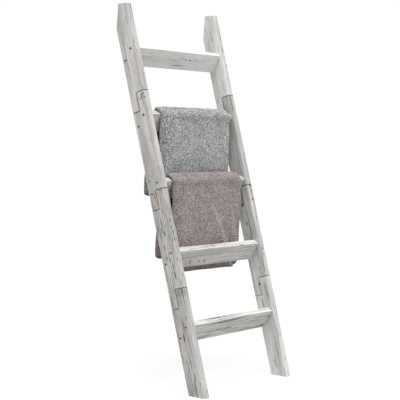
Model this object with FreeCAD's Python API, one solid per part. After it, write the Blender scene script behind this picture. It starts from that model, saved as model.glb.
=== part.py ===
"""Leaning ladder towel rack in white-washed pine, with two towels hung on it. Millimetres, +Z up.

The origin is on the floor, midway between the rails and midway between the front of the feet and the wall.
+X runs along the rungs and +Y points to the wall. Along a rail, "along" is the distance from the foot up the
rail's front edge and "depth" is the distance back from that edge.
"""
import FreeCAD, Part
import math
import os

# the whole ladder
overall_height = 1370.0
overall_width = 500.0
lean = 15.0                     # degrees from the vertical, top towards the wall
top_flat = 48.0                 # from the front edge of the top back to the wall
top_cut_set_back = 8.5          # how far the upper end of the wall cut stands clear of the wall

# stock
rail_thickness = 26.0
rail_depth = 70.0
rung_thickness = 26.0
rung_width = 72.0
worn_edge = 1.5                 # radius on every long edge

# rungs, from the floor up
rung_along = [236.0, 499.0, 751.0, 997.0, 1240.0]
rung_to_rail = 45.0             # degrees between a rung's wide face and the rail
rung_setback = 4.0              # centre of the rung behind the centre of the rail

# half-lap joints, from the floor up
lap_pitch = 355.0
lap_length = 68.0
shoulder_gap = 1.0
seam_groove = 0.8               # depth of the eased edges along a seam

# screws
rung_screw_spacing = 48.0
rung_screw_length = 65.0
lap_screw_spacing = 24.0
lap_screw_length = 60.0
screw_radius = 2.1
head_radius = 4.0
head_height = 2.6
head_sink = 0.6                 # head below the wood's face
point_length = 6.0
recess_width = 1.0
recess_depth = 1.4

# towels
towel_width = 394.0
towel_thickness = 10.0          # folded double, so two layers of terry
towel_gap = 0.5                 # air between cloth and rung
towels = {
    "mauve_towel": {"rung": 2, "centre_x": -2.0, "length": 678.0, "back_drop": 234.0, "front_tilt": 1.2,
                    "back_tilt": 2.5},
    "grey_towel": {"rung": 3, "centre_x": 8.0, "length": 686.0, "back_drop": 247.0, "front_tilt": 3.8,
                   "back_tilt": 2.0},
}

# worked out from the sizes above
lean_sin = math.sin(math.radians(lean))
lean_cos = math.cos(math.radians(lean))
rung_tilt = math.radians(rung_to_rail - lean)
total_depth = overall_height * lean_sin / lean_cos + top_flat
foot_y = -total_depth / 2
wall_y = total_depth / 2
inner_x = overall_width / 2 - rail_thickness
lap_along = [lap_pitch * (i + 1) for i in range(3)]
section_names = ["foot", "lower", "upper", "top"]


def at(x, along, depth):
    """A point on the ladder, from its place across, along and through the rails."""
    y = foot_y + along * lean_sin + depth * lean_cos
    return FreeCAD.Vector(x, y, along * lean_cos - depth * lean_sin)


def prism(points, width):
    """A solid on a closed outline of points, swept along +X."""
    face = Part.Face(Part.makePolygon(points + points[:1]))
    return face.extrude(FreeCAD.Vector(width, 0, 0))


def soften_long_edges(solid, direction, radius):
    """Round the edges that run along the grain."""
    long_edges = []
    for edge in solid.Edges:
        run = edge.Vertexes[-1].Point - edge.Vertexes[0].Point
        if edge.Length > 60 and abs(run.normalize().dot(direction)) > 0.99:
            long_edges.append(edge)
    return solid.makeFillet(radius, long_edges)


def rail(x):
    """One whole rail with its near face at x: level foot, level top and a cut behind it that meets the wall."""
    cut_low = (wall_y - foot_y - rail_depth / lean_cos) * lean_cos / lean_sin
    outline = [
        FreeCAD.Vector(x, foot_y, 0),
        FreeCAD.Vector(x, foot_y + rail_depth / lean_cos, 0),
        FreeCAD.Vector(x, wall_y, cut_low),
        FreeCAD.Vector(x, wall_y - top_cut_set_back, overall_height),
        FreeCAD.Vector(x, wall_y - top_flat, overall_height),
    ]
    along_rail = FreeCAD.Vector(0, lean_sin, lean_cos)
    return soften_long_edges(prism(outline, rail_thickness), along_rail, worn_edge)


def section_block(x, number):
    """The stretch of rail that one section takes, stepped where it laps its neighbours."""
    half = lap_length / 2
    clear = 60.0
    middle = rail_depth / 2
    front_low, back_low = -clear, -clear
    if number > 0:
        front_low = lap_along[number - 1] + half + shoulder_gap / 2
        back_low = lap_along[number - 1] - half + shoulder_gap / 2
    front_high, back_high = overall_height + 2 * clear, overall_height + 2 * clear
    if number < 3:
        front_high = lap_along[number] + half - shoulder_gap / 2
        back_high = lap_along[number] - half - shoulder_gap / 2
    corners = [(-clear, front_low), (middle, front_low), (middle, back_low), (rail_depth + clear, back_low),
               (rail_depth + clear, back_high), (middle, back_high), (middle, front_high), (-clear, front_high)]
    outline = []
    for depth, along in corners:
        point = at(x - 1, along, depth)
        if not outline or (point - outline[-1]).Length > 0.01:
            outline.append(point)
    return prism(outline, rail_thickness + 2)


def groove(start, end):
    """A square bar on its corner, which cuts a V along a seam."""
    side = seam_groove * math.sqrt(2)
    bar = Part.makeBox(side, side, (end - start).Length)
    bar.rotate(FreeCAD.Vector(0, 0, 0), FreeCAD.Vector(0, 0, 1), 45)
    bar.translate(FreeCAD.Vector(0, -seam_groove, 0))
    turn = FreeCAD.Rotation(FreeCAD.Vector(0, 0, 1), end - start)
    if abs((end - start).normalize().x) < 0.5:
        across = turn.multVec(FreeCAD.Vector(1, 0, 0))
        roll = math.degrees(math.atan2(across.cross(FreeCAD.Vector(1, 0, 0)).Length, across.x))
        turn = turn.multiply(FreeCAD.Rotation(FreeCAD.Vector(0, 0, 1), roll))
    bar.Placement = FreeCAD.Placement(start, turn).multiply(bar.Placement)
    return bar


def lap_grooves(x, centre):
    """The eased seam of one lap on both wide faces, the front edge and the back edge."""
    high, low = centre + lap_length / 2, centre - lap_length / 2
    middle = rail_depth / 2
    grooves = []
    for face in (x, x + rail_thickness):
        grooves.append(groove(at(face, high, -1), at(face, high, middle)))
        grooves.append(groove(at(face, low, middle), at(face, high, middle)))
        grooves.append(groove(at(face, low, middle), at(face, low, rail_depth + 1)))
    grooves.append(groove(at(x - 1, high, 0), at(x + rail_thickness + 1, high, 0)))
    grooves.append(groove(at(x - 1, low, rail_depth), at(x + rail_thickness + 1, low, rail_depth)))
    return grooves


def screw(head_centre, direction, length):
    """A countersunk wood screw: cone head with a cross recess, plain shank, point."""
    profile = [
        FreeCAD.Vector(0, 0, 0), FreeCAD.Vector(head_radius, 0, 0),
        FreeCAD.Vector(screw_radius, 0, head_height), FreeCAD.Vector(screw_radius, 0, length - point_length),
        FreeCAD.Vector(0, 0, length),
    ]
    solid = Part.Face(Part.makePolygon(profile + profile[:1]))
    solid = solid.revolve(FreeCAD.Vector(0, 0, 0), FreeCAD.Vector(0, 0, 1), 360)
    plain = solid.copy()
    for turn in (0, 90):
        slot = Part.makeBox(2 * screw_radius, recess_width, recess_depth)
        slot.translate(FreeCAD.Vector(-screw_radius, -recess_width / 2, 0))
        slot.rotate(FreeCAD.Vector(0, 0, 0), FreeCAD.Vector(0, 0, 1), turn)
        solid = solid.cut(slot)
    place = FreeCAD.Placement(head_centre, FreeCAD.Rotation(FreeCAD.Vector(0, 0, 1), direction))
    sink = Part.makeCylinder(head_radius, 2 * head_sink, FreeCAD.Vector(0, 0, -2 * head_sink))
    hole = plain.fuse(sink).removeSplitter()
    for shape in (solid, hole):
        shape.Placement = place
    return solid, hole


def rung_axis(number):
    """Centre of a rung's section in the middle of the ladder."""
    return at(0, rung_along[number], rail_depth / 2 + rung_setback)


def rung_directions():
    """Unit vectors of a rung's section: up its wide face, and out of its front face."""
    up = FreeCAD.Vector(0, -math.sin(rung_tilt), math.cos(rung_tilt))
    out = FreeCAD.Vector(0, -math.cos(rung_tilt), -math.sin(rung_tilt))
    return up, out


def rung_corners(number):
    """Corners of a rung's section: front top, back top, back bottom, front bottom."""
    up, out = rung_directions()
    centre = rung_axis(number)
    half_width, half_thick = rung_width / 2, rung_thickness / 2
    return [centre + up * a * half_width + out * b * half_thick for a, b in ((1, 1), (1, -1), (-1, -1), (-1, 1))]


def rung(number):
    """A board between the rails, with its lower back corner planed flush with the backs of the rails."""
    outline = [FreeCAD.Vector(-inner_x, p.y, p.z) for p in rung_corners(number)]
    board = prism(outline, 2 * inner_x)
    along = rung_along[number]
    behind = [at(-inner_x - 1, along + a, rail_depth + d) for a, d in ((-90, 0), (90, 0), (90, 30), (-90, 30))]
    board = board.cut(prism(behind, 2 * inner_x + 2))
    return soften_long_edges(board, FreeCAD.Vector(1, 0, 0), worn_edge)


def rung_screw_places(number, side):
    """Heads of the two screws at one end of a rung, and the way that they are driven."""
    up, _ = rung_directions()
    centre = rung_axis(number) + FreeCAD.Vector(side * (overall_width / 2 - head_sink), 0, 0)
    step = up * (rung_screw_spacing / 2)
    return [(centre + step, FreeCAD.Vector(-side, 0, 0)), (centre - step, FreeCAD.Vector(-side, 0, 0))]


def lap_screw_places(number, side):
    """Heads of the two screws that close a lap from behind, and the way that they are driven."""
    x = side * (overall_width - rail_thickness) / 2
    forwards = FreeCAD.Vector(0, -lean_cos, lean_sin)
    places = []
    for step in (-lap_screw_spacing / 2, lap_screw_spacing / 2):
        places.append((at(x, lap_along[number] + step, rail_depth - head_sink), forwards))
    return places


def towel(settings):
    """A towel folded over a rung: front drop, three bends round the rung's corners, back drop."""
    front_top, back_top, back_bottom, _ = rung_corners(settings["rung"])
    up, out = rung_directions()
    gap, thick = towel_gap, towel_thickness
    front_tilt, back_tilt = math.radians(settings["front_tilt"]), math.radians(settings["back_tilt"])
    back_bend = FreeCAD.Vector(0, back_bottom.y + gap, back_bottom.z + gap)
    corners = [front_top + (up + out) * gap, back_top + (up - out) * gap, back_bend]
    over = (corners[1] - corners[0]).Length + (corners[2] - corners[1]).Length
    turned = math.pi * thick / 2
    front_drop = settings["length"] - settings["back_drop"] - over - turned
    front_hem = corners[0] + FreeCAD.Vector(0, math.sin(front_tilt), -math.cos(front_tilt)) * front_drop
    back_hem = back_bend + FreeCAD.Vector(0, math.sin(back_tilt), -math.cos(back_tilt)) * settings["back_drop"]
    inner = [front_hem] + corners + [back_hem]
    edges = [Part.LineSegment(a, b).toShape() for a, b in zip(inner, inner[1:])]
    normals = []
    for a, b in zip(inner, inner[1:]):
        run = (b - a).normalize()
        normals.append(FreeCAD.Vector(0, -run.z, run.y))
    outer_lines = [(a + n * thick, b + n * thick) for a, b, n in zip(inner, inner[1:], normals)]
    edges.append(Part.LineSegment(inner[0], outer_lines[0][0]).toShape())
    for i, (start, end) in enumerate(outer_lines):
        edges.append(Part.LineSegment(start, end).toShape())
        if i + 1 < len(outer_lines):
            middle = inner[i + 1] + (normals[i] + normals[i + 1]).normalize() * thick
            edges.append(Part.Arc(end, middle, outer_lines[i + 1][0]).toShape())
    edges.append(Part.LineSegment(outer_lines[-1][1], inner[-1]).toShape())
    face = Part.Face(Part.Wire(Part.__sortEdges__(edges)))
    face.translate(FreeCAD.Vector(settings["centre_x"] - towel_width / 2, 0, 0))
    return face.extrude(FreeCAD.Vector(towel_width, 0, 0))


def save(name, solids):
    """Write one node's solids, and stop if one of them isn't sound."""
    shape = solids[0] if len(solids) == 1 else Part.makeCompound(solids)
    if not shape.isValid() or shape.Volume <= 0:
        raise RuntimeError(name + " is not a sound solid")
    shape.exportStep("parts/" + name + ".step")
    print(name, len(shape.Solids), "solid(s)", round(shape.Volume / 1000, 2), "cm3")


def main():
    os.makedirs("parts", exist_ok=True)
    rail_holes = {-1: [], 1: []}
    board_holes = [[] for _ in rung_along]
    for side, side_name in ((-1, "left"), (1, "right")):
        near_x = -overall_width / 2 if side < 0 else inner_x
        for number in range(len(rung_along)):
            pairs = [screw(head, way, rung_screw_length) for head, way in rung_screw_places(number, side)]
            save("rung_%d_%s_screws" % (number + 1, side_name), [pair[0] for pair in pairs])
            rail_holes[side] += [pair[1] for pair in pairs]
            board_holes[number] += [pair[1] for pair in pairs]
        for number in range(len(lap_along)):
            pairs = [screw(head, way, lap_screw_length) for head, way in lap_screw_places(number, side)]
            save("%s_lap_%d_screws" % (side_name, number + 1), [pair[0] for pair in pairs])
            rail_holes[side] += [pair[1] for pair in pairs]
        whole = rail(near_x)
        for centre in lap_along:
            for cutter in lap_grooves(near_x, centre):
                whole = whole.cut(cutter)
        for hole in rail_holes[side]:
            whole = whole.cut(hole)
        for number, section_name in enumerate(section_names):
            piece = whole.common(section_block(near_x, number))
            save("%s_rail_%s_section" % (side_name, section_name), piece.Solids)
    for number in range(len(rung_along)):
        board = rung(number)
        for hole in board_holes[number]:
            board = board.cut(hole)
        save("rung_%d" % (number + 1), board.Solids)
    for name, settings in towels.items():
        save(name, [towel(settings)])


main()
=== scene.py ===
import bpy
import math
from mathutils import Euler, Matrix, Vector


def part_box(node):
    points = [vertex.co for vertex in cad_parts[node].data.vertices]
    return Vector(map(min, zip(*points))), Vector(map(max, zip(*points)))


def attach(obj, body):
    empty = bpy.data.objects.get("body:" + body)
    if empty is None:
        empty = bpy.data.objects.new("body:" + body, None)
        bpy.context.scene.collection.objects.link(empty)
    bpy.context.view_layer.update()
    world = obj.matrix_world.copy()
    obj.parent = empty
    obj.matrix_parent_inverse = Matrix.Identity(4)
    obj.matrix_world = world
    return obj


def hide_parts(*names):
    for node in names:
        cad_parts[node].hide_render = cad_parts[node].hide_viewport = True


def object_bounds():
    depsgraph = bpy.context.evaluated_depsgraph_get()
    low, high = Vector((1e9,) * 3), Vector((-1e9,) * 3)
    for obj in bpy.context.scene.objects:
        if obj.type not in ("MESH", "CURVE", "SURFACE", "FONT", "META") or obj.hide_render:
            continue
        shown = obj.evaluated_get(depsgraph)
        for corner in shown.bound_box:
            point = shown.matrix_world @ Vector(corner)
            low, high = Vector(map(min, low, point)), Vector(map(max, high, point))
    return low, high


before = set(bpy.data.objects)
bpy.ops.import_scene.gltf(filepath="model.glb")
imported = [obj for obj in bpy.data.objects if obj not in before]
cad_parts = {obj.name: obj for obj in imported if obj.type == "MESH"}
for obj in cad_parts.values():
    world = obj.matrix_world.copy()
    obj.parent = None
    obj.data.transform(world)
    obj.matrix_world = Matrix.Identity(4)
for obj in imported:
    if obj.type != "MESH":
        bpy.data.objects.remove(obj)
cadLow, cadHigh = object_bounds()
scene = bpy.context.scene
print("frame loaded,", len(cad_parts), "wooden parts, screws and towels")


cameraSettings = {
    "place": (-2.951, -2.5295, 0.8446),
    "heading": -49.07,      # degrees, turned from +Y towards +X
    "pitch": -4.78,         # degrees, looking slightly down
    "lens": 95.2,
    "sensor": 36.0,
    "shiftUp": 0.1,         # share of the frame's width
}
studioSettings = {
    "floorSize": 60.0,      # metres
    "floorWhite": "FCFCFC",
    "floorBounce": "C0C0BF",    # greyer in the light that it throws up at the rack
    "floorWash": 0.90,      # how much of the rack's shadow the paper's own light washes out
    "skyGlow": 0.50,        # light from all round
    "backdropGlow": 1.0,    # what the camera sees behind the rack
    "keyFrom": (-0.21, -0.24, 0.94),
    "keySoftness": 30.0,    # degrees that the light spreads over
    "keyStrength": 2.7,
}


def linearColour(hexText):
    parts = [int(hexText[i:i + 2], 16) / 255 for i in (0, 2, 4)]
    straight = [c / 12.92 if c <= 0.04045 else ((c + 0.055) / 1.055) ** 2.4 for c in parts]
    return (*straight, 1.0)


def addNode(tree, kind, inputs=None, **settings):
    node = tree.nodes.new("ShaderNode" + kind)
    for setting, value in settings.items():
        setattr(node, setting, value)
    for socket, value in (inputs or {}).items():
        if isinstance(value, bpy.types.NodeSocket):
            tree.links.new(value, node.inputs[socket])
        else:
            node.inputs[socket].default_value = value
    return node


def startMaterial(name):
    material = bpy.data.materials.new(name)
    material.use_nodes = True
    material.node_tree.nodes.clear()
    return material, material.node_tree


def addCamera(settings):
    bpy.ops.object.camera_add(location=settings["place"])
    camera = bpy.context.object
    pitch, heading = math.radians(90 + settings["pitch"]), math.radians(settings["heading"])
    camera.rotation_euler = Euler((pitch, 0, heading))
    camera.data.sensor_width = settings["sensor"]
    camera.data.lens = settings["lens"]
    camera.data.shift_y = settings["shiftUp"]
    scene.camera = camera


def addStudio(settings):
    bpy.ops.mesh.primitive_plane_add(size=settings["floorSize"], location=(0, 0, cadLow.z))
    floor = bpy.context.object
    floor.name = "studioFloor"
    material, tree = startMaterial("matt white paper")
    seen = addNode(tree, "LightPath").outputs["Is Camera Ray"]
    paper = addNode(tree, "BsdfDiffuse", {"Color": linearColour(settings["floorWhite"])})
    lit = addNode(tree, "Emission", {"Color": (1, 1, 1, 1), "Strength": 1.0})
    paper = addNode(tree, "MixShader", {0: settings["floorWash"], 1: paper.outputs[0], 2: lit.outputs[0]})
    bounce = addNode(tree, "BsdfDiffuse", {"Color": linearColour(settings["floorBounce"])})
    both = addNode(tree, "MixShader", {0: seen, 1: bounce.outputs[0], 2: paper.outputs[0]})
    addNode(tree, "OutputMaterial", {"Surface": both.outputs[0]})
    floor.data.materials.append(material)

    world = bpy.data.worlds.new("studio")
    scene.world = world
    world.use_nodes = True
    tree = world.node_tree
    tree.nodes.clear()
    glow = addNode(tree, "Background", {"Color": (1, 1, 1, 1), "Strength": settings["skyGlow"]})
    backdrop = addNode(tree, "Background", {"Color": (1, 1, 1, 1), "Strength": settings["backdropGlow"]})
    seen = addNode(tree, "LightPath").outputs["Is Camera Ray"]
    both = addNode(tree, "MixShader", {0: seen, 1: glow.outputs[0], 2: backdrop.outputs[0]})
    addNode(tree, "OutputWorld", {"Surface": both.outputs[0]})

    bpy.ops.object.light_add(type="SUN", location=Vector(settings["keyFrom"]) * 4)
    key = bpy.context.object
    key.name = "softKey"
    key.data.angle = math.radians(settings["keySoftness"])
    key.data.energy = settings["keyStrength"]
    key.rotation_euler = Vector(settings["keyFrom"]).to_track_quat("Z", "Y").to_euler()


bpy.ops.object.select_all(action="DESELECT")
scene.view_settings.view_transform = "Standard"
addCamera(cameraSettings)
addStudio(studioSettings)
print("camera and studio ready")


lean = math.radians(15)         # the rails, from upright
rungTilt = math.radians(30)     # a rung's wide face, from upright
# sizes of the ladder in millimetres, along its boards
railDepth = 70.0
railThick = 26.0
railOuter = 250.0               # outer faces, from the middle of the ladder
rungWidth = 72.0
rungThick = 26.0
rungAlong = [236.0, 499.0, 751.0, 997.0, 1240.0]
rungDepth = 39.0                # middle of a rung behind the rails' front edge
screwStep = 24.0                # a screw from the middle of its rung, along the rung's width
lapPitch = 355.0
lapHalf = 34.0
lapsFrom = 0.5 * lapPitch       # no lap below this
lapsTo = 3.5 * lapPitch         # nor above this

pineSettings = {
    "washWhite": "F0F0EE",
    "washThin": "D6D5D2",
    "latewood": "94918D",
    "check": "453F3A",
    "bare": "B98D62",
    "knot": "6C6763",
    "stain": "CDBFB2",
    "ringSpacing": 6.0,         # real rings are 2 to 4 mm, drawn coarser so that they show
    "streakWidth": 2.6,         # bundles of fibres, about 1 mm in real pine
    "streakLength": 38,         # in streak widths
    "hairWidth": 1.6,           # single scratches of the brush
    "hairLength": 50,
    "checkWidth": 2.6,          # drying cracks, drawn wider than the real 1 mm
    "checkLength": 15,          # in crack widths
    "lineWidth": 2.8,           # fine cracks that run far
    "lineLength": 75,
    "patchSize": 42.0,          # how far one brush load of wash reaches across the board
    "patchStretch": 0.14,       # and it reaches further along it
    "wanderSize": 60.0,         # the grain bends over this length, by this much
    "wanderDepth": 12.0,
    "seamWidth": 1.5,
    "screwRing": 7.0,           # stained wood round a screw head
    "relief": 0.0012,           # metres
}
# for each board: lightness, strength of the grain, how many short and long drying cracks, warmth,
# and where the pith lies, across from the board's middle and in depth
boards = {
    "left_rail_foot_section": {"seed": 1, "tone": 0.86, "grain": 1.00, "checks": 0.55, "lines": 0.7,
                               "warm": 0.35, "pith": (40, 60)},
    "left_rail_lower_section": {"seed": 2, "tone": 0.95, "grain": 0.95, "checks": 1.35, "lines": 0.7,
                                "warm": 0.40, "pith": (48, -25)},
    "left_rail_upper_section": {"seed": 3, "tone": 0.97, "grain": 0.60, "checks": 0.30, "lines": 0.2,
                                "warm": 0.55, "pith": (70, 48)},
    "left_rail_top_section": {"seed": 4, "tone": 1.00, "grain": 0.55, "checks": 0.25, "lines": 0.2,
                              "warm": 0.30, "pith": (55, 10)},
    "right_rail_foot_section": {"seed": 5, "tone": 1.10, "grain": 0.50, "checks": 0.40, "lines": 0.3,
                                "warm": 0.15, "pith": (-60, 30)},
    "right_rail_lower_section": {"seed": 6, "tone": 1.00, "grain": 0.85, "checks": 0.60, "lines": 0.6,
                                 "warm": 0.15, "pith": (-45, 75)},
    "right_rail_upper_section": {"seed": 7, "tone": 0.87, "grain": 0.80, "checks": 0.35, "lines": 0.4,
                                 "warm": 0.35, "pith": (-70, 0)},
    "right_rail_top_section": {"seed": 8, "tone": 1.12, "grain": 0.30, "checks": 0.20, "lines": 0.2,
                               "warm": 0.40, "pith": (-50, 50)},
    "rung_1": {"seed": 9, "tone": 1.14, "grain": 0.70, "checks": 0.75, "lines": 1.7,
               "warm": 0.10, "pith": (10, 45)},
    "rung_2": {"seed": 10, "tone": 1.00, "grain": 0.75, "checks": 0.45, "lines": 0.5,
               "warm": 0.05, "pith": (-30, 60)},
    "rung_3": {"seed": 11, "tone": 1.05, "grain": 0.90, "checks": 0.80, "lines": 0.8,
               "warm": 0.10, "pith": (20, 40)},
    "rung_4": {"seed": 12, "tone": 1.10, "grain": 0.90, "checks": 0.80, "lines": 0.9,
               "warm": 0.10, "pith": (-10, 50)},
    "rung_5": {"seed": 13, "tone": 1.28, "grain": 0.12, "checks": 0.05, "lines": 0.1,
               "warm": 0.10, "pith": (30, 70)},
}
# knots, cracks and worn places of the rails: place (across, depth, along), half sizes, colour, strength
railMarks = {
    "left": [
        ((-250, 13, 1084), (5, 4, 7), "knot", 0.8), ((-250, 4, 1087), (4, 4, 5), "knot", 0.8),
        ((-250, 15, 1075), (5, 5, 5), "knot", 0.7), ((-249, 2, 1073), (5, 4, 4), "knot", 0.75),
        ((-250, 25, 1071), (4, 4, 4), "knot", 0.5), ((-250, 2, 1018), (4, 2, 34), "bare", 0.60),
        ((-250, 1, 940), (4, 1.6, 44), "bare", 0.40), ((-250, 1, 858), (4, 1.6, 36), "bare", 0.30),
        ((-250, 38, 1064), (4, 4, 34), "bare", 0.7), ((-250, 50, 1032), (4, 15, 4), "bare", 0.6),
        ((-250, 44, 721), (4, 5, 15), "bare", 0.85), ((-250, 57, 686), (4, 13, 4), "bare", 0.6),
        ((-250, 68, 698), (4, 3, 12), "bare", 0.4), ((-250, 40, 697), (4, 3, 9), "bare", 0.5),
        ((-250, 55, 781), (4, 3, 5), "knot", 0.7), ((-250, 40, 793), (4, 3, 5), "knot", 0.5),
        ((-250, 38, 627), (4, 2, 16), "check", 0.8), ((-250, 42, 604), (4, 2, 9), "check", 0.8),
        ((-250, 34, 588), (4, 2.5, 9), "check", 0.9), ((-250, 47, 539), (4, 2.5, 12), "check", 0.9),
        ((-250, 43, 501), (4, 2, 10), "check", 0.8), ((-250, 31, 490), (4, 1.8, 11), "check", 0.9),
        ((-250, 24, 467), (4, 2, 11), "check", 0.9), ((-250, 21, 437), (4, 2.2, 14), "check", 0.9),
        ((-250, 32, 446), (4, 2, 9), "check", 0.6), ((-250, 50, 575), (4, 2, 9), "check", 0.6),
        ((-250, 30, 260), (4, 2.5, 22), "check", 0.85), ((-250, 38, 218), (4, 3.5, 16), "check", 0.9),
        ((-250, 31, 165), (4, 2.5, 40), "stain", 1.0), ((-250, 31, 140), (4, 2, 34), "check", 0.6),
        ((-250, 24, 76), (4, 3, 16), "check", 0.6), ((-250, 30, 40), (4, 3, 30), "check", 0.7),
        ((-250, 11, 284), (4, 6, 8), "knot", 0.35), ((-250, 41, 1317), (4, 3, 26), "stain", 0.7),
        ((-250, 62, 1222), (4, 3, 7), "knot", 0.7), ((-250, 28, 1330), (4, 2, 30), "check", 0.35),
        ((-246, 0, 629), (2, 3, 8), "check", 0.8), ((-245, 0, 603), (2, 3, 7), "check", 0.8),
        ((-243, 0, 587), (2, 3, 8), "check", 0.8), ((-239, 0, 561), (2, 3, 9), "check", 0.7),
        ((-250, 14, 374), (4, 16, 14), "knot", 0.35), ((-243, 0, 374), (8, 4, 14), "knot", 0.30),
        ((-236, 0, 484), (3, 3, 6), "knot", 0.5), ((-236, 0, 433), (3, 3, 6), "knot", 0.5),
    ],
    "right": [
        ((241, 0, 1281), (3, 3, 12), "knot", 0.6), ((244, 0, 1330), (3, 3, 5), "knot", 0.35),
        ((247, 0, 1217), (3, 3, 5), "check", 0.7), ((250, 0, 1190), (4, 3, 8), "knot", 0.5),
        ((240, 0, 744), (4, 3, 6), "knot", 0.8), ((247, 0, 739), (3, 3, 5), "knot", 0.7),
        ((245, 0, 719), (4, 3, 8), "knot", 0.8), ((238, 0, 687), (4, 3, 5), "check", 0.9),
        ((236, 0, 493), (4, 3, 6), "knot", 0.6), ((237, 0, 472), (3, 3, 5), "knot", 0.5),
        ((224, 34, 1057), (4, 4, 22), "bare", 0.5), ((224, 27, 1345), (4, 2, 30), "check", 0.25),
        ((224, 18, 1150), (4, 2, 30), "bare", 0.5), ((224, 42, 672), (4, 5, 6), "check", 0.8),
        ((224, 40, 600), (4, 4, 6), "check", 0.7), ((224, 28, 592), (4, 2, 56), "check", 0.7),
        ((224, 37, 363), (4, 4, 6), "check", 1.0), ((224, 15, 350), (4, 5, 20), "knot", 0.45),
        ((224, 10, 320), (4, 5, 14), "knot", 0.4), ((224, 40, 290), (4, 2.5, 22), "check", 0.6),
        ((224, 42, 67), (4, 3, 6), "knot", 0.6),
    ],
}
# the same for the rungs: up the wide face, depth from its middle, along +X
rungMarks = {
    "rung_5": [((-6, -13, 43), (3, 4, 9), "check", 0.6), ((-5, -13, 66), (3, 4, 7), "check", 0.6),
               ((-10, -13, 84), (4, 4, 4), "knot", 0.5), ((-9, -13, 104), (3, 4, 8), "knot", 0.4),
               ((-10, -13, 20), (6, 4, 12), "knot", 0.25), ((-12, -13, -206), (10, 4, 4), "knot", 0.4)],
    "rung_2": [((14, -13, -140), (7, 4, 4), "check", 0.8), ((17, -13, -89), (6, 4, 4.5), "check", 0.65),
               ((16, -13, -62), (7, 4, 4), "check", 0.75), ((18, -13, 174), (2, 4, 32), "check", 0.5)],
    "rung_1": [((3, -13, -70), (2.5, 4, 22), "check", 0.7), ((5, -13, -20), (2.5, 4, 26), "check", 0.6),
               ((24, -13, -150), (2.5, 4, 40), "check", 0.55), ((-20, -13, 150), (2.5, 4, 34), "check", 0.6),
               ((-8, -13, 130), (2, 4, 40), "check", 0.45), ((34, -13, -160), (2.5, 4, 40), "check", 0.5)],
    "rung_4": [((2, -13, -212), (2.0, 4, 30), "check", 1.0), ((14, -13, -210), (1.6, 4, 26), "check", 0.5),
               ((24, -13, -208), (1.8, 4, 26), "check", 0.6)],
    "rung_3": [((8, -13, -212), (1.8, 4, 26), "check", 0.6), ((22, -13, -210), (1.8, 4, 26), "check", 0.6)],
}


def railPlacing():
    # turns the rail upright: x across the ladder, y depth behind the front edge, z along the rail
    origin = Euler((lean, 0, 0)).to_matrix() @ Vector((0, -1000 * cadLow.y, 0))
    return Euler((lean, 0, 0)), origin


def rungPlacing(number):
    # lays the rung's width on x, its thickness on y and its length on z
    turn = Euler((-rungTilt, -math.pi / 2, 0))
    along, depth = rungAlong[number], rungDepth
    middle = Vector((0, 1000 * cadLow.y + along * math.sin(lean) + depth * math.cos(lean),
                     along * math.cos(lean) - depth * math.sin(lean)))
    return turn, -(turn.to_matrix() @ middle)


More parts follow.
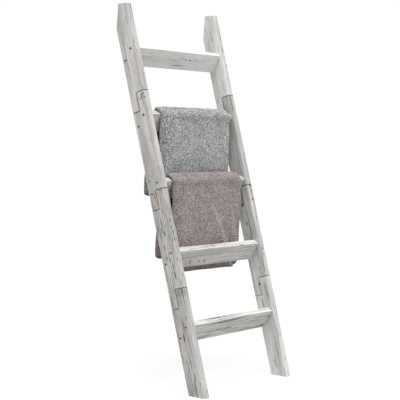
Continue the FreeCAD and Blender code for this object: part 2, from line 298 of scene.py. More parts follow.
def pineMaterial(name, board, turn, origin, marks, screwPlaces, hasLaps):
    # pine, sawn, brushed and white-washed: chalky white with grey latewood lines, and
    # brown where the wash wore off
    pine = pineSettings
    named = ("washWhite", "washThin", "latewood", "check", "bare", "knot", "stain")
    colours = {key: linearColour(pine[key]) for key in named}
    for key in ("washWhite", "washThin"):
        colours[key] = (*[min(1.0, c * board["tone"]) for c in colours[key][:3]], 1.0)
    material, tree = startMaterial(name)
    where = addNode(tree, "TexCoord").outputs["Object"]
    flat = addNode(tree, "Mapping", {"Vector": where, "Location": origin, "Rotation": turn,
                                     "Scale": (1000, 1000, 1000)}).outputs[0]
    cut = Vector((137.0, 71.0, 53.0)) * board["seed"]       # another part of the tree
    slow = addNode(tree, "Mapping", {"Vector": flat, "Location": cut,
                                     "Scale": (1, 1, pine["patchStretch"])}).outputs[0]

    # the grain isn't quite straight, and each pattern is drawn out along it
    half = (0.5, 0.5, 0.5)
    wander = addNode(tree, "TexNoise", {"Vector": slow, "Scale": 1 / pine["wanderSize"], "Detail": 1.0})
    wander = addNode(tree, "VectorMath", {0: wander.outputs["Color"], 1: half}, operation="SUBTRACT")
    wander = addNode(tree, "VectorMath", {0: wander.outputs[0], "Scale": pine["wanderDepth"]},
                     operation="SCALE")
    bent = addNode(tree, "VectorMath", {0: flat, 1: wander.outputs[0]}, operation="ADD").outputs[0]
    long = addNode(tree, "Mapping", {"Vector": bent, "Location": cut,
                                     "Scale": (1, 1, 1 / pine["streakLength"])}).outputs[0]
    hair = addNode(tree, "Mapping", {"Vector": bent, "Location": -cut,
                                     "Scale": (1, 1, 1 / pine["hairLength"])}).outputs[0]

    # growth rings round the pith, which lies outside the board. At scale 1 the wave has a ring every 0.314
    pith = (-board["pithAt"][0], -board["pithAt"][1], 7.0 * board["seed"])
    ringPlace = addNode(tree, "Mapping", {"Vector": bent, "Scale": (1, 1, 0.05), "Location": pith})
    rings = addNode(tree, "TexWave", {"Vector": ringPlace.outputs[0], "Scale": 0.314 / pine["ringSpacing"],
                                      "Distortion": 1.6, "Detail": 2.0, "Detail Scale": 1.4},
                    wave_type="RINGS", rings_direction="Z", wave_profile="SAW").outputs["Fac"]
    rings = addNode(tree, "MapRange", {"Value": rings, 1: 0.55, 2: 1.0, 3: 0.0, 4: 0.8}).outputs[0]
    streaks = addNode(tree, "TexNoise", {"Vector": long, "Scale": 1 / pine["streakWidth"], "Detail": 3.0,
                                         "Roughness": 0.6}).outputs["Fac"]
    streaks = addNode(tree, "MapRange", {"Value": streaks, 1: 0.48, 2: 0.64, 3: 0.0, 4: 1.0}).outputs[0]
    hairs = addNode(tree, "TexNoise", {"Vector": hair, "Scale": 1 / pine["hairWidth"],
                                       "Detail": 2.0}).outputs["Fac"]
    grain = addNode(tree, "Math", {0: rings, 1: streaks}, operation="MAXIMUM").outputs[0]

    # wash that went on thick in some places and thin in others
    patches = addNode(tree, "TexNoise", {"Vector": slow, "Scale": 1 / pine["patchSize"],
                                         "Detail": 3.0}).outputs["Fac"]
    thin = addNode(tree, "MapRange", {"Value": patches, 1: 0.38, 2: 0.62, 3: 0.25, 4: 1.0}).outputs[0]
    grain = addNode(tree, "Math", {0: grain, 1: thin}, operation="MULTIPLY").outputs[0]
    grain = addNode(tree, "Math", {0: grain, 1: board["grain"]}, operation="MULTIPLY",
                    use_clamp=True).outputs[0]
    colour = addNode(tree, "Mix", {0: thin, 6: colours["washWhite"], 7: colours["washThin"]},
                     data_type="RGBA").outputs[2]
    colour = addNode(tree, "Mix", {0: grain, 6: colour, 7: colours["latewood"]}, data_type="RGBA").outputs[2]
    lift = addNode(tree, "MapRange", {"Value": hairs, 1: 0.3, 2: 0.7, 3: 0.80, 4: 1.06}).outputs[0]
    lift = addNode(tree, "CombineColor", {0: lift, 1: lift, 2: lift}).outputs[0]
    colour = addNode(tree, "Mix", {0: 1.0, 6: colour, 7: lift}, data_type="RGBA",
                     blend_type="MULTIPLY").outputs[2]

    # warm stain that shows through
    warmth = addNode(tree, "Mapping", {"Vector": bent, "Location": cut * 3, "Scale": (1, 1, 0.12)}).outputs[0]
    warmth = addNode(tree, "TexNoise", {"Vector": warmth, "Scale": 1 / 18, "Detail": 2.0}).outputs["Fac"]
    warmth = addNode(tree, "MapRange", {"Value": warmth, 1: 0.54, 2: 0.72, 3: 0.0,
                                        4: board["warm"]}).outputs[0]
    colour = addNode(tree, "Mix", {0: warmth, 6: colour, 7: colours["stain"]}, data_type="RGBA").outputs[2]

    # drying cracks, dark along the grain: short checks, and fine lines that run far
    hollow = 0.0
    for stretch, width, rare, amount in ((pine["checkLength"], pine["checkWidth"], 0.72, board["checks"]),
                                         (pine["lineLength"], pine["lineWidth"], 0.70, board["lines"])):
        cracks = addNode(tree, "Mapping", {"Vector": bent, "Location": cut * 5,
                                           "Scale": (1, 1, 1 / stretch)}).outputs[0]
        cracks = addNode(tree, "TexNoise", {"Vector": cracks, "Scale": 1 / width,
                                            "Detail": 1.0}).outputs["Fac"]
        sparse = rare - 0.06 * amount
        cracks = addNode(tree, "MapRange", {"Value": cracks, 1: sparse, 2: sparse + 0.05,
                                            3: 0.0, 4: 0.85}).outputs[0]
        colour = addNode(tree, "Mix", {0: cracks, 6: colour, 7: colours["check"]},
                         data_type="RGBA").outputs[2]
        hollow = addNode(tree, "Math", {0: hollow, 1: cracks}, operation="MAXIMUM").outputs[0]

    # the board's own marks have ragged outlines, and the stain round a screw a clean one
    ragged = addNode(tree, "TexNoise", {"Vector": slow, "Scale": 1 / 4, "Detail": 2.0}).outputs["Color"]
    ragged = addNode(tree, "VectorMath", {0: ragged, 1: half}, operation="SUBTRACT").outputs[0]
    ragged = addNode(tree, "VectorMath", {0: ragged, "Scale": 5.0}, operation="SCALE").outputs[0]
    ragged = addNode(tree, "VectorMath", {0: flat, 1: ragged}, operation="ADD").outputs[0]
    spots = [(*mark, ragged) for mark in marks]
    ringSize = (3.0, pine["screwRing"], pine["screwRing"])
    spots += [(place, ringSize, "stain", 0.9, flat) for place in screwPlaces]
    for place, size, kind, strength, outline in spots:
        spot = addNode(tree, "Mapping", {"Vector": outline, "Location": [-p / s for p, s in zip(place, size)],
                                         "Scale": [1 / s for s in size]}).outputs[0]
        spot = addNode(tree, "VectorMath", {0: spot}, operation="LENGTH").outputs["Value"]
        spot = addNode(tree, "MapRange", {"Value": spot, 1: 1.25, 2: 0.7, 3: 0.0, 4: strength}).outputs[0]
        colour = addNode(tree, "Mix", {0: spot, 6: colour, 7: colours[kind]}, data_type="RGBA").outputs[2]
        if kind == "check":
            hollow = addNode(tree, "Math", {0: hollow, 1: spot}, operation="MAXIMUM").outputs[0]

    if hasLaps:
        # a dark line along the stepped seam of each half lap, painted shade of the narrow gap, the same on
        # every pitch
        axes = addNode(tree, "SeparateXYZ", {0: flat}).outputs
        step = addNode(tree, "Math", {0: axes["Z"], 1: lapPitch / 2, 2: -lapPitch / 2},
                       operation="WRAP").outputs[0]
        front = addNode(tree, "Math", {0: axes["Y"], 1: railDepth / 2}, operation="LESS_THAN").outputs[0]
        back = addNode(tree, "Math", {0: 1.0, 1: front}, operation="SUBTRACT").outputs[0]
        between = addNode(tree, "Math", {0: step}, operation="ABSOLUTE").outputs[0]
        between = addNode(tree, "Math", {0: between, 1: lapHalf}, operation="LESS_THAN").outputs[0]
        seam = 0.0
        for value, level, part in ((step, lapHalf, front), (step, -lapHalf, back),
                                   (axes["Y"], railDepth / 2, between)):
            line = addNode(tree, "Math", {0: value, 1: level}, operation="SUBTRACT").outputs[0]
            line = addNode(tree, "Math", {0: line}, operation="ABSOLUTE").outputs[0]
            line = addNode(tree, "MapRange", {"Value": line, 1: 0.7 * pine["seamWidth"],
                                              2: 1.5 * pine["seamWidth"], 3: 1.0, 4: 0.0}).outputs[0]
            line = addNode(tree, "Math", {0: line, 1: part}, operation="MULTIPLY").outputs[0]
            seam = addNode(tree, "Math", {0: seam, 1: line}, operation="MAXIMUM").outputs[0]
        for limit, way in ((lapsFrom, "GREATER_THAN"), (lapsTo, "LESS_THAN")):
            inside = addNode(tree, "Math", {0: axes["Z"], 1: limit}, operation=way).outputs[0]
            seam = addNode(tree, "Math", {0: seam, 1: inside}, operation="MULTIPLY").outputs[0]
        uneven = addNode(tree, "MapRange", {"Value": patches, 1: 0.35, 2: 0.6, 3: 0.6, 4: 1.0}).outputs[0]
        seam = addNode(tree, "Math", {0: seam, 1: uneven}, operation="MULTIPLY").outputs[0]
        colour = addNode(tree, "Mix", {0: seam, 6: colour, 7: colours["check"]}, data_type="RGBA").outputs[2]

    height = addNode(tree, "Math", {0: grain, 1: -0.35}, operation="MULTIPLY").outputs[0]
    height = addNode(tree, "Math", {0: hollow, 1: -1.2, 2: height}, operation="MULTIPLY_ADD").outputs[0]
    height = addNode(tree, "Math", {0: hairs, 1: 0.35, 2: height}, operation="MULTIPLY_ADD").outputs[0]
    relief = addNode(tree, "Bump", {"Height": height, "Strength": 0.55,
                                    "Distance": pine["relief"]}).outputs[0]
    rough = addNode(tree, "MapRange", {"Value": patches, 1: 0.3, 2: 0.7, 3: 0.58, 4: 0.80}).outputs[0]
    surface = addNode(tree, "BsdfPrincipled", {"Base Color": colour, "Roughness": rough, "Normal": relief,
                                               "IOR": 1.46, "Specular IOR Level": 0.35})
    addNode(tree, "OutputMaterial", {"Surface": surface.outputs[0]})
    return material


def finishBoards():
    diagonal = screwStep * math.sin(math.radians(45))   # the rungs lie at 45 degrees to the rails
    reach = 1.2 * lapHalf       # how far past the middle of its laps a section has marks
    for side, face in (("left", -railOuter), ("right", railOuter)):
        middle = math.copysign(railOuter - railThick / 2, face)
        for number, part in enumerate(("foot", "lower", "upper", "top")):
            node = "%s_rail_%s_section" % (side, part)
            low, high = lapPitch * number - reach, lapPitch * (number + 1) + reach
            board = dict(boards[node])
            board["pithAt"] = (middle + board["pith"][0], board["pith"][1])
            marks = [mark for mark in railMarks[side] if low < mark[0][2] < high]
            heads = []
            for along in rungAlong:
                if low < along < high:
                    heads.append((face, rungDepth - diagonal, along + diagonal))
                    heads.append((face, rungDepth + diagonal, along - diagonal))
            turn, origin = railPlacing()
            name = "white-washed pine, " + node.replace("_", " ")
            giveMaterial(node, pineMaterial(name, board, turn, origin, marks, heads, True))
    for number in range(len(rungAlong)):
        node = "rung_%d" % (number + 1)
        board = dict(boards[node])
        board["pithAt"] = board["pith"]
        turn, origin = rungPlacing(number)
        name = "white-washed pine, " + node.replace("_", " ")
        giveMaterial(node, pineMaterial(name, board, turn, origin, rungMarks.get(node, []), [], False))


def giveMaterial(node, material):
    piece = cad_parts[node]
    if not piece.material_slots:
        piece.data.materials.append(material)
    for slot in piece.material_slots:
        slot.material = material


finishBoards()
print("boards white-washed")


screwSettings = {
    "bronze": "4A3024",
    "worn": "7A5A40",
    "wornSize": 1.2,        # mm, rub marks of the driver
}


def bronzedSteel(settings):
    # countersunk steel screws, bronzed: dull dark brown, with lighter metal where the driver rubbed
    material, tree = startMaterial("bronzed steel")
    where = addNode(tree, "TexCoord").outputs["Object"]
    rubbed = addNode(tree, "TexNoise", {"Vector": where, "Scale": 1000 / settings["wornSize"],
                                        "Detail": 2.0}).outputs["Fac"]
    worn = addNode(tree, "MapRange", {"Value": rubbed, 1: 0.5, 2: 0.7, 3: 0.0, 4: 0.7}).outputs[0]
    colour = addNode(tree, "Mix", {0: worn, 6: linearColour(settings["bronze"]),
                                   7: linearColour(settings["worn"])}, data_type="RGBA").outputs[2]
    rough = addNode(tree, "MapRange", {"Value": rubbed, 1: 0.3, 2: 0.7, 3: 0.62, 4: 0.45}).outputs[0]
    relief = addNode(tree, "Bump", {"Height": rubbed, "Strength": 0.2, "Distance": 0.0003}).outputs[0]
    surface = addNode(tree, "BsdfPrincipled", {"Base Color": colour, "Metallic": 0.6, "Roughness": rough,
                                               "Normal": relief})
    addNode(tree, "OutputMaterial", {"Surface": surface.outputs[0]})
    return material


bronzed = bronzedSteel(screwSettings)
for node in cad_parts:
    if node.endswith("_screws"):
        giveMaterial(node, bronzed)
print("screws bronzed")


# both towels: lengths in metres
clothSettings = {
    "cellsAcross": 50,
    "cellsLong": 88,
    "clear": 0.0058,        # middle of the folded cloth from the wood
    "layer": 0.0041,        # one layer of terry
    "apart": 0.0052,        # between the middles of the two layers
    "underStep": 0.006,     # how far the under layer shows past the upper one at the open edge
    "stepReach": 0.12,      # how far in from that edge the upper layer starts to draw back
    "cornerRound": 0.018,
    "openCornerRound": 0.042,   # at the front, where the layers are open and droop
    "round": 0.010,         # how softly it turns over an edge
    "woodCushion": 0.001,   # how near it may come to the wood, and to the towel below
    "clothCushion": 0.0055,
    "frames": 30,
    "mass": 0.4,
    "tension": 40.0,
    "bending": 12.0,
    "damping": 8.0,
    "curlWide": 0.034,      # the folded edge curls back towards the wood
    "curlBack": 0.009,
    "lipWide": 0.030,       # the open edges lift a little
    "lipOut": 0.004,
    "droopWide": 0.028,     # both sides droop at the crown
    "droopDown": 0.0030,
    "tuckFrom": 0.72,       # share of the width from which the open side swings in
    "hemDark": 0.42,        # the hems drawn darker than the pile: the flat-woven hem's own look, and painted shade for a hem that hangs in the rung's shadow
    "hemWide": 0.012,
    "crownPaintedShade": 0.10,      # painted shade: the pile on the crown over the rung drawn darker, against the light from above
    "crownReach": 0.045,
    "crestPaintedHighlight": 0.42,     # painted highlight: the pile drawn lighter on the crest of a fold this deep
    "crestDeep": 0.010,
    "insidePaintedShade": 0.62,     # painted shade on the side towards the wood, high up behind the rung, between the two drops
    "pileHeight": 0.0012,
    "pileSize": 0.005,
}
# terry in millimetres. Its real loops are 1 to 2 mm, drawn coarser so that they show
terrySettings = {
    "loopSize": 2.8,
    "speckleSize": 3.4,
    "fuzzSize": 2.2,
    "brushedSize": 40.0,    # where a hand has stroked the pile
    "relief": 2.2,
}
# each towel: tilts in degrees, lengths in metres. "tuck" is how far the open side swings in and back,
# "leftIn" how far the fold draws in at the rung and lower down, "hemLift" the hem's lift at left and right.
# A fold is: place across, width, depth, where it starts and ends from the rung to the hem, slant
towels = {
    "mauveTowelling": {
        "node": "mauve_towel", "rung": "rung_3", "behind": ["rung_2"], "body": "mauve_towel_body",
        "slot": "mauve_towelling", "size": (0.394, 0.678), "middle": -0.002, "backDrop": 0.234,
        "frontTilt": 1.2, "flare": 0.014, "rearOut": 0.004, "puff": 0.0085, "hemLift": (0.003, -0.002),
        "tuck": (0.012, 0.010), "leftIn": (0.010, 0.018), "seed": 3.0,
        "colours": ("625656", "AA9E9D", "E2D8D7"),
        "folds": [(0.63, 0.030, 0.0110, 0.15, 2.0, 0.46), (0.88, 0.026, 0.0080, 0.10, 2.0, 0.22),
                  (0.78, 0.050, -0.0050, 0.20, 2.0, 0.30), (0.16, 0.070, 0.0040, 0.10, 2.0, 0.0)],
    },
    "greyTowelling": {
        "node": "grey_towel", "rung": "rung_4", "behind": ["rung_3"], "body": "grey_towel_body",
        "slot": "grey_towelling", "size": (0.394, 0.686), "middle": 0.008, "backDrop": 0.247,
        "frontTilt": 3.8, "flare": 0.012, "rearOut": 0.002, "puff": 0.0080, "hemLift": (0.0, 0.0),
        "tuck": (0.0, 0.0), "leftIn": (0.008, 0.018), "seed": 8.0,
        "colours": ("5A5B5B", "B5B6B6", "FFFFFF"),
        "folds": [(0.14, 0.050, 0.0060, 0.0, 0.62, 0.0), (0.48, 0.120, -0.0040, 0.10, 0.62, 0.10)],
    },
}


def rungCorner(rung, alongWidth, alongThick):
    # y and z of a point on the rung's section, from its middle, in metres
    low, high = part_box(rung)
    reach = (rungWidth / 2 * math.sin(rungTilt) + rungThick / 2 * math.cos(rungTilt)) / 1000
    middle = Vector((low.y + reach, (low.z + high.z) / 2))
    up = Vector((-math.sin(rungTilt), math.cos(rungTilt)))
    back = Vector((math.cos(rungTilt), math.sin(rungTilt)))
    return middle + up * alongWidth + back * alongThick


def hangingLine(towel, cloth):
    # the towel's middle line from its front hem over the rung to its back hem, in 1 mm
    # steps, with softened turns
    wide, thick, clear = rungWidth / 2000, rungThick / 2000, cloth["clear"]
    frontTop = rungCorner(towel["rung"], wide + clear, -thick - clear)
    backTop = rungCorner(towel["rung"], wide + clear, thick + clear)
    puffed = rungCorner(towel["rung"], wide + clear + towel["puff"], thick + clear + towel["puff"] / 3)
    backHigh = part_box(towel["rung"])[1].y
    backFoot = rungCorner(towel["rung"], -wide, thick)
    backTurn = Vector((backHigh + clear, backFoot.y + (backHigh - backFoot.x) + clear))
    over = (backTop - frontTop).length + (backTurn - backTop).length
    frontDrop = towel["size"][1] - towel["backDrop"] - over
    tilt = math.radians(towel["frontTilt"])
    corners = [frontTop + Vector((math.sin(tilt), -math.cos(tilt))) * frontDrop, frontTop, puffed, backTurn,
               backTurn + Vector((0, -towel["backDrop"]))]
    line = []
    for start, end in zip(corners, corners[1:]):
        count = round((end - start).length * 1000)
        line += [start.lerp(end, i / count) for i in range(count)]
    line.append(corners[-1])
    window = round(cloth["round"] * 1000)
    soft = []
    for i in range(len(line)):
        reach = min(window, i, len(line) - 1 - i)
        near = line[i - reach:i + reach + 1]
        soft.append(sum(near, Vector((0, 0))) / len(near))
    return soft, frontDrop, over


def makeCollider(source, cushion):
    # a copy for the cloth to rest on, because the part itself isn't changed
    copy = source.copy()
    copy.data = source.data.copy()
    copy.parent = None
    scene.collection.objects.link(copy)
    copy.modifiers.new("stop", "COLLISION")
    copy.collision.thickness_outer = cushion
    copy.collision.cloth_friction = 60
    return copy


def roundCorners(piece, places, width, length, cloth):
    # the square at each corner of the cloth becomes a quarter of a disc
    for vertex, (across, down) in zip(piece.data.vertices, places):
        radius = cloth["openCornerRound"] if across > 0.5 > down else cloth["cornerRound"]
        a = (abs(across - 0.5) * width - width / 2 + radius) / radius
        b = (abs(down - 0.5) * length - length / 2 + radius) / radius
        if a > 0 and b > 0:
            vertex.co.x -= math.copysign(radius * a * (1 - math.sqrt(1 - b * b / 2)), across - 0.5)
            vertex.co.z += radius * b * (1 - math.sqrt(1 - a * a / 2))


def makeTowel(name, towel, cloth, below):
    # a unit grid laid over the rung. Its places say where each point lies: across from the
    # left edge and down the cloth from the front hem, both from 0 to 1
    line, frontDrop, over = hangingLine(towel, cloth)
    edge = (cloth["apart"] + cloth["layer"]) / 2
    width, length = towel["size"][0] - edge, towel["size"][1]
    bpy.ops.object.select_all(action="DESELECT")
    bpy.ops.mesh.primitive_grid_add(x_subdivisions=cloth["cellsAcross"],
                                    y_subdivisions=cloth["cellsLong"], size=1)
    piece = bpy.context.object
    piece.name = name
    held = piece.vertex_groups.new(name="held")
    places = []
    for vertex in piece.data.vertices:
        across, down = vertex.co.x + 0.5, vertex.co.y + 0.5
        places.append((across, down))
        place = down * (len(line) - 1)
        low = min(int(place), len(line) - 2)
        point = line[low].lerp(line[low + 1], place - low)
        vertex.co = (towel["middle"] + edge / 2 + (across - 0.5) * width, point.x, point.y)
        fromFront = down * length - frontDrop
        if 0 <= fromFront <= over:
            held.add([vertex.index], 1.0, "REPLACE")
    settleTowel(piece, towel, cloth, below)
    roundCorners(piece, places, width, length, cloth)
    shapeTowel(piece, towel, places, width, frontDrop, over, cloth)
    return piece, places


def settleTowel(piece, towel, cloth, below):
    boardsNear = [towel["rung"]] + towel["behind"]
    stops = [makeCollider(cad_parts[node], cloth["woodCushion"]) for node in boardsNear]
    stops += [makeCollider(other, cloth["clothCushion"]) for other in below]
    sheet = piece.modifiers.new("sheet", "CLOTH")
    sheet.settings.quality = 8
    sheet.settings.mass = cloth["mass"]
    sheet.settings.tension_stiffness = cloth["tension"]
    sheet.settings.compression_stiffness = cloth["tension"]
    sheet.settings.shear_stiffness = cloth["tension"] / 2
    sheet.settings.bending_stiffness = cloth["bending"]
    sheet.settings.bending_damping = cloth["damping"]
    sheet.settings.tension_damping = cloth["damping"]
    sheet.settings.air_damping = 2.0
    sheet.settings.vertex_group_mass = "held"
    sheet.collision_settings.distance_min = cloth["clear"] - 0.001
    sheet.collision_settings.collision_quality = 3
    sheet.point_cache.frame_start = 1
    sheet.point_cache.frame_end = cloth["frames"]
    for number in range(1, cloth["frames"] + 1):
        scene.frame_set(number)
    bpy.ops.object.select_all(action="DESELECT")
    bpy.context.view_layer.objects.active = piece
    piece.select_set(True)
    bpy.ops.object.modifier_apply(modifier=sheet.name)
    scene.frame_set(1)
    for stop in stops:
        bpy.data.objects.remove(stop)


def shapeTowel(piece, towel, places, width, frontDrop, over, cloth):
    # soft creases that open towards the front hem, edges that curl, and a side that swings
    # in under its own weight
    length = towel["size"][1]
    crownIn, frontIn = towel["leftIn"]
    for vertex, (across, down) in zip(piece.data.vertices, places):
        fromLeft, fromRight = across * width, (1 - across) * width
        curl = max(0.0, 1 - fromLeft / cloth["curlWide"]) ** 2
        lip = max(0.0, 1 - fromRight / cloth["lipWide"]) ** 2
        low = 1 - down * length / frontDrop         # 0 at the rung, 1 at the front hem
        past = max(0.0, -low * frontDrop / over)    # 0 at the rung's front, 1 where the back drop starts
        drawnIn = crownIn + (frontIn - crownIn) * min(1.0, max(0.0, low) * 3)
        if past > 0.5:
            drawnIn *= max(0.0, 2 - 2 * past)
        vertex.co.x += drawnIn * (1 - across) ** 1.5
        if low <= 0:
            fallen = max(0.0, (past - 1) * over / towel["backDrop"])
            vertex.co.y += towel["flare"] * fallen ** 1.5
            vertex.co.x -= towel["rearOut"] * fallen * (1 - across)
            past = min(1.0, 2 * past)
            droop = cloth["droopDown"] * max(0.0, 1 - min(fromLeft, fromRight) / cloth["droopWide"]) ** 2
            vertex.co.z -= droop * math.sin(past * math.pi / 2) * (1 if past < 1 else 0.5)
            continue
        grip = min(1.0, low * 4)
        for middle, wide, deep, start, end, slant in towel["folds"]:
            if end < 1:
                grown = math.sin(math.pi * low / end) if low < end else 0.0
            else:
                grown = max(0.0, (low - start) / (1 - start))
            away = (across - middle - slant * (low - 0.5)) / wide
            vertex.co.y -= deep * grown * math.exp(-away * away)
        side = max(0.0, (across - cloth["tuckFrom"]) / (1 - cloth["tuckFrom"])) ** 1.5
        vertex.co.x -= towel["tuck"][0] * side * low ** 2
        vertex.co.y += towel["tuck"][1] * side * low ** 2
        vertex.co.z += (towel["hemLift"][0] * (1 - across) + towel["hemLift"][1] * across) * low
        vertex.co.y += grip * (cloth["curlBack"] * curl - cloth["lipOut"] * lip * (1 - low))


def napAndPaintedLightAt(towel, across, down, frontDrop, cloth):
    # how light the pile is drawn at a point of the cloth, 1 where it stands as woven, with painted shade on
    # the crown, a painted highlight on fold crests, and at the hems the woven border's darker look with
    # painted shade
    length = towel["size"][1]
    low = 1 - down * length / frontDrop
    fromHem = min(down, 1 - down) * length
    napAndPaintedLight = 1 - cloth["hemDark"] * min(1.0, max(0.0, 1.5 - fromHem / cloth["hemWide"]))
    napAndPaintedLight -= cloth["crownPaintedShade"] * min(1.0, max(0.0, 1 - low * frontDrop / cloth["crownReach"]))
    for middle, wide, deep, start, end, slant in towel["folds"]:
        if end > 1 and low > start:
            away = (across - middle - slant * (low - 0.5)) / wide
            crest = deep / cloth["crestDeep"] * (low - start) / (1 - start)
            napAndPaintedLight += cloth["crestPaintedHighlight"] * crest * math.exp(-away * away)
    return napAndPaintedLight


def doubleTowel(sheet, places, towel, cloth):
    # the cloth folded in two lengthwise: the fold at the left, two open edges at the right
    columns, rows = cloth["cellsAcross"], cloth["cellsLong"]
    half = cloth["apart"] / 2
    frontDrop, over = hangingLine(towel, cloth)[1:]
    order = {}
    for vertex, (across, down) in zip(sheet.data.vertices, places):
        order[round(across * columns), round(down * rows)] = vertex
    facing = order[columns // 2, rows // 8].normal.y       # which side of the grid is the front
    points, uvs, napsAndPaintedLight = [], [], []
    foldSteps = 3
    wide = 2 * columns + 2 + foldSteps
    for row in range(rows + 1):
        outer, inner = [], []
        for column in range(columns, -1, -1):
            vertex = order[column, row]
            normal = vertex.normal * (-1 if facing > 0 else 1)
            fromRight = (1 - column / columns) * towel["size"][0]
            step = Vector((cloth["underStep"] * max(0.0, 1 - fromRight / cloth["stepReach"]), 0, 0))
            outer.append(vertex.co + normal * half - step)
            inner.append(vertex.co - normal * half)
        normal = order[0, row].normal * (-1 if facing > 0 else 1)
        outward = (order[0, row].co - order[1, row].co).normalized()
        fold = []
        for number in range(1, foldSteps + 1):
            turn = math.pi * number / (foldSteps + 1)
            fold.append(order[0, row].co + normal * half * math.cos(turn) + outward * half * math.sin(turn))
        points += outer + fold + inner[::-1]
        uvs += [(column / (wide - 1), row / rows) for column in range(wide)]
        shares = [column / columns for column in range(columns, -1, -1)]
        strip = [napAndPaintedLightAt(towel, across, row / rows, frontDrop, cloth) for across in shares]
        # the painted shade inside starts just behind the rung, ends 130 mm down, and fades at the open side
        fallen = row / rows * towel["size"][1] - frontDrop - over
        dark = min(1.0, max(0.0, fallen / 0.01)) * min(1.0, max(0.0, 2.6 - fallen / 0.05))
        dark *= cloth["insidePaintedShade"]
        hidden = [napAndPaintedLight - dark * min(1.0, 8 - 8 * across) for napAndPaintedLight, across in zip(strip, shares)]
        napsAndPaintedLight += strip + [strip[-1]] * foldSteps + hidden[::-1]
    faces = []
    for row in range(rows):
        for column in range(wide - 1):
            corner = row * wide + column
            faces.append((corner, corner + 1, corner + 1 + wide, corner + wide))
    mesh = bpy.data.meshes.new(sheet.name)
    mesh.from_pydata(points, [], faces)
    layer = mesh.uv_layers.new(name="cloth")
    for loop in mesh.loops:
        layer.data[loop.index].uv = uvs[loop.vertex_index]
    mesh.attributes.new("napAndPaintedLight", "FLOAT", "POINT").data.foreach_set("value", napsAndPaintedLight)
    sheet.data = mesh
    sheet.vertex_groups.clear()


def thickenTowel(piece, cloth):
    bpy.ops.object.select_all(action="DESELECT")
    bpy.context.view_layer.objects.active = piece
    piece.select_set(True)
    bpy.ops.object.shade_smooth()
    wall = piece.modifiers.new("wall", "SOLIDIFY")
    wall.thickness = cloth["layer"]
    wall.offset = 0.0
    wall.use_even_offset = True
    bpy.ops.object.modifier_apply(modifier=wall.name)
    soften = piece.modifiers.new("soften", "SUBSURF")
    soften.levels = 1
    soften.render_levels = 1
    bpy.ops.object.modifier_apply(modifier=soften.name)
    tufts = bpy.data.textures.new(piece.name + " tufts", "CLOUDS")
    tufts.noise_scale = cloth["pileSize"]
    tufts.noise_depth = 1
    pile = piece.modifiers.new("pile", "DISPLACE")
    pile.texture = tufts
    pile.texture_coords = "LOCAL"
    pile.strength = cloth["pileHeight"]
    pile.mid_level = 0.5
    bpy.ops.object.modifier_apply(modifier=pile.name)


def flatSize(towel, cloth):
    return 2 * towel["size"][0] - cloth["underStep"], towel["size"][1]


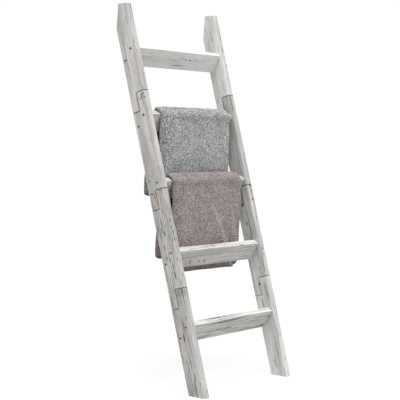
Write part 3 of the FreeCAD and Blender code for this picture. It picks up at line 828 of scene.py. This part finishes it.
def towelling(name, towel):
    # cotton terry in mixed yarns: matt and fuzzy, speckled light and dark, with a bed of small loops
    terry = terrySettings
    dark, middle, light = [linearColour(text) for text in towel["colours"]]
    width, length = flatSize(towel, clothSettings)
    material, tree = startMaterial(name)
    where = addNode(tree, "UVMap").outputs[0]
    cloth = addNode(tree, "Mapping", {"Vector": where, "Scale": (1000 * width, 1000 * length, 1),
                                      "Location": (0, 0, towel["seed"])}).outputs[0]
    loops = addNode(tree, "TexVoronoi", {"Vector": cloth, "Scale": 1 / terry["loopSize"], "Randomness": 0.9})
    speckle = addNode(tree, "TexNoise", {"Vector": cloth, "Scale": 1 / terry["speckleSize"], "Detail": 3.0,
                                         "Roughness": 0.8}).outputs["Fac"]
    speckle = addNode(tree, "MapRange", {"Value": speckle, 1: 0.36, 2: 0.64, 3: 0.0, 4: 1.0}).outputs[0]
    yarn = addNode(tree, "SeparateColor", {0: loops.outputs["Color"]}).outputs[0]
    mixed = addNode(tree, "Math", {0: speckle, 1: 0.6}, operation="MULTIPLY").outputs[0]
    mixed = addNode(tree, "Math", {0: yarn, 1: 0.4, 2: mixed}, operation="MULTIPLY_ADD").outputs[0]
    shade = addNode(tree, "ValToRGB", {0: mixed})
    shade.color_ramp.elements[0].position = 0.15
    shade.color_ramp.elements[0].color = dark
    shade.color_ramp.elements[1].position = 0.85
    shade.color_ramp.elements[1].color = light
    half = shade.color_ramp.elements.new(0.5)
    half.color = middle
    brushedPileAndPaintedLight = addNode(tree, "TexNoise", {"Vector": cloth, "Scale": 1 / terry["brushedSize"],
                                         "Detail": 2.0}).outputs["Fac"]
    brushedPileAndPaintedLight = addNode(tree, "MapRange", {"Value": brushedPileAndPaintedLight, 1: 0.35, 2: 0.65, 3: 0.90, 4: 1.06}).outputs[0]
    # the nap attribute carries painted shade and painted highlight, which darken and lighten the terry's
    # colour
    napAndPaintedLight = addNode(tree, "Attribute", attribute_name="napAndPaintedLight").outputs["Fac"]
    brushedPileAndPaintedLight = addNode(tree, "Math", {0: brushedPileAndPaintedLight, 1: napAndPaintedLight}, operation="MULTIPLY").outputs[0]
    brushedPileAndPaintedLight = addNode(tree, "CombineColor", {0: brushedPileAndPaintedLight, 1: brushedPileAndPaintedLight, 2: brushedPileAndPaintedLight}).outputs[0]
    colour = addNode(tree, "Mix", {0: 1.0, 6: shade.outputs[0], 7: brushedPileAndPaintedLight}, data_type="RGBA",
                     blend_type="MULTIPLY").outputs[2]
    fuzz = addNode(tree, "TexNoise", {"Vector": cloth, "Scale": 1 / terry["fuzzSize"], "Detail": 3.0,
                                      "Roughness": 0.7}).outputs["Fac"]
    height = addNode(tree, "Math", {0: loops.outputs["Distance"], 1: -0.6, 2: fuzz},
                     operation="MULTIPLY_ADD").outputs[0]
    relief = addNode(tree, "Bump", {"Height": height, "Strength": 0.7,
                                    "Distance": terry["relief"] / 1000}).outputs[0]
    rough = addNode(tree, "MapRange", {"Value": fuzz, 1: 0.3, 2: 0.7, 3: 0.85, 4: 1.0}).outputs[0]
    surface = addNode(tree, "BsdfPrincipled", {"Base Color": colour, "Roughness": rough, "Normal": relief,
                                               "IOR": 1.5, "Specular IOR Level": 0.15, "Sheen Weight": 0.08,
                                               "Sheen Roughness": 0.5, "Diffuse Roughness": 1.0})
    addNode(tree, "OutputMaterial", {"Surface": surface.outputs[0]})
    return material


hung = []
flatPlaces = {}
for name, towel in towels.items():
    piece, flatPlaces[name] = makeTowel(name, towel, clothSettings, hung)
    hung.append(piece)
    print(name, "hung")
for piece in hung:
    towel = towels[piece.name]
    doubleTowel(piece, flatPlaces[piece.name], towel, clothSettings)
    piece.data.materials.append(towelling(piece.name.replace("Towelling", " cotton terry"), towel))
    thickenTowel(piece, clothSettings)
    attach(piece, towel["body"])
    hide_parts(towel["node"])
    print(piece.name, len(piece.data.polygons), "faces")
